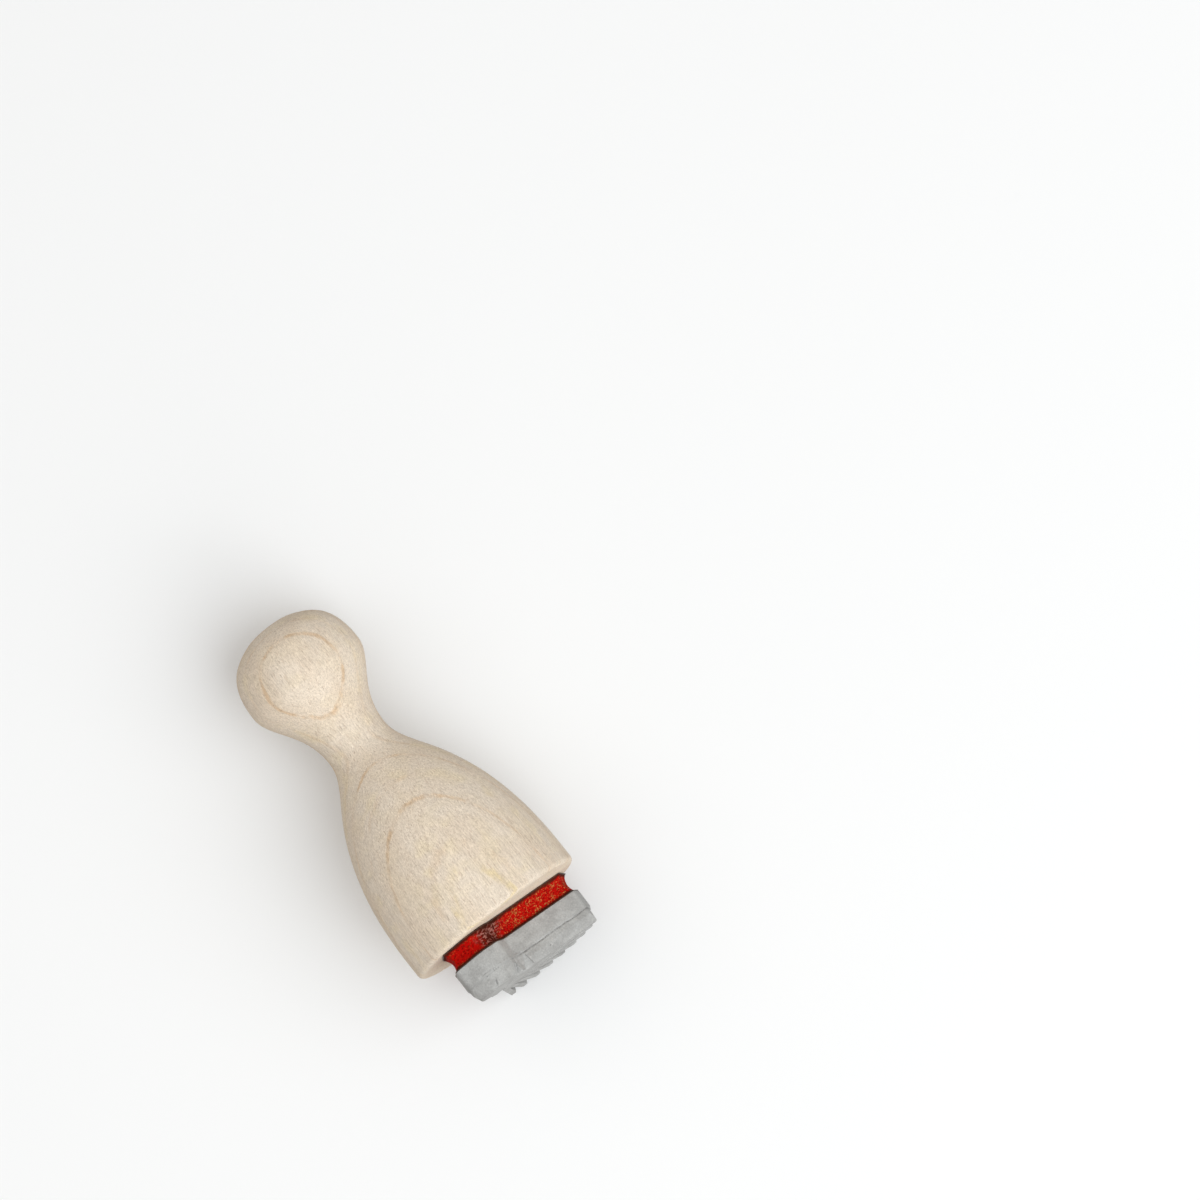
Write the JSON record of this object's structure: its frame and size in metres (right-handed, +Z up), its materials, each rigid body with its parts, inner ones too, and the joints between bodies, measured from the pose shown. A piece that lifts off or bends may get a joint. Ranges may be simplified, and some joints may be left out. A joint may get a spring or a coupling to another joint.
{
  "type": "rubber stamp",
  "caption": "Small peg stamp: turned wooden handle with a ball top, red sponge cushion and a grey rubber die with a raised tassel motif.",
  "frame": {"origin": "point under the handle's axis, on the plane of the print face, at the bottom centre of the bounding box", "axes": "+Z up along the handle's axis, from the print face to the ball; -Y is the side towards the viewer, and the head of the motif lies towards -X and -Y"},
  "size_m": [0.015, 0.015, 0.0334],
  "materials": {
    "turned_wood": "bare turned beech, fine straight grain, matte",
    "adhesive_film": "dark transfer adhesive, irregular edge",
    "sponge_foam": "red closed-cell sponge rubber, fine open pores on the cut sides",
    "stamp_rubber": "light grey moulded rubber, hand-cut sides, matte"
  },
  "bodies": {
    "handle_body": {"handle": "turned_wood", "upper_adhesive": "adhesive_film", "foam_cushion": "sponge_foam"},
    "die_body": {"lower_adhesive": "adhesive_film", "rubber_die": "stamp_rubber"}
  },
  "joints": [
    {"name": "cushion_press", "type": "slide", "parent": "handle_body", "child": "die_body", "axis": [0, 0, 1], "range_m": [0, 0.00045], "stiffness_N_per_m": 12000, "deforming": ["foam_cushion"]}
  ]
}
